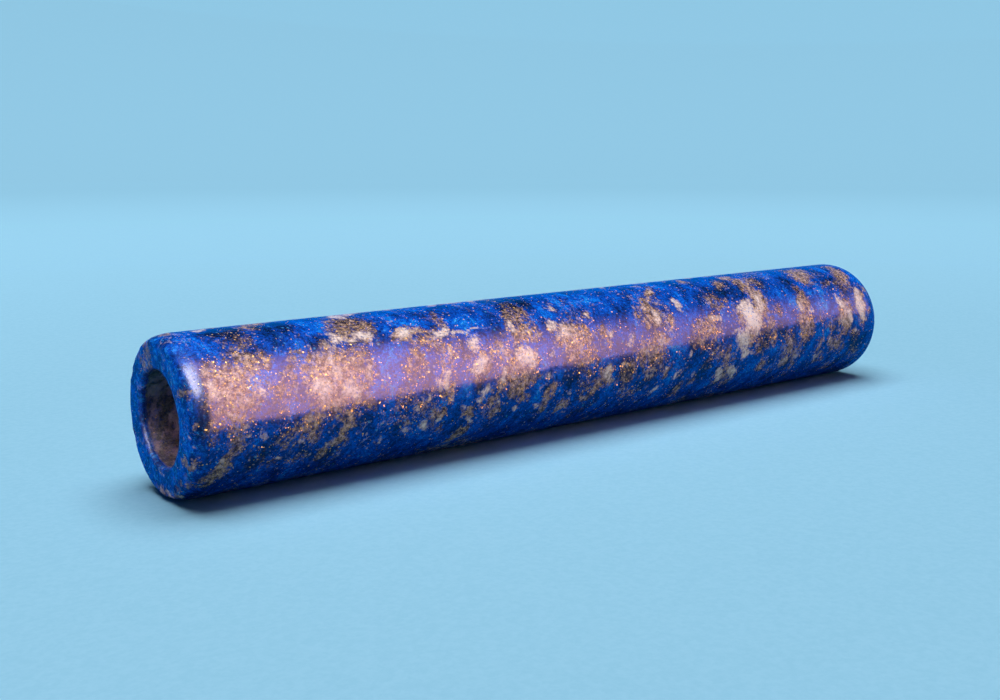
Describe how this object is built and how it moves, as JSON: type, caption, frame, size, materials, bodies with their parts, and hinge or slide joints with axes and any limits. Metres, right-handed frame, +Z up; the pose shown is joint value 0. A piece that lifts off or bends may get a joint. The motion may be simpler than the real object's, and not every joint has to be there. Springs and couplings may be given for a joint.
{
  "type": "guitar slide",
  "caption": "Straight thick-walled tube of polished blue stone with rounded ends and a finger bore right through, slid along guitar strings.",
  "frame": {"origin": "on the bore's axis, half way along the tube, which is the centre of its bounding box", "axes": "+X along the bore's axis towards the end with the larger edge rounding, +Z up with the tube lying on its side, +Y across it"},
  "size_m": [0.182, 0.028, 0.028],
  "materials": {
    "lapis": "polished, semi-gloss, mottled blue with tan and cream veins and fine gold flecks"
  },
  "bodies": {
    "root": {"slide_tube": "lapis"}
  },
  "joints": []
}
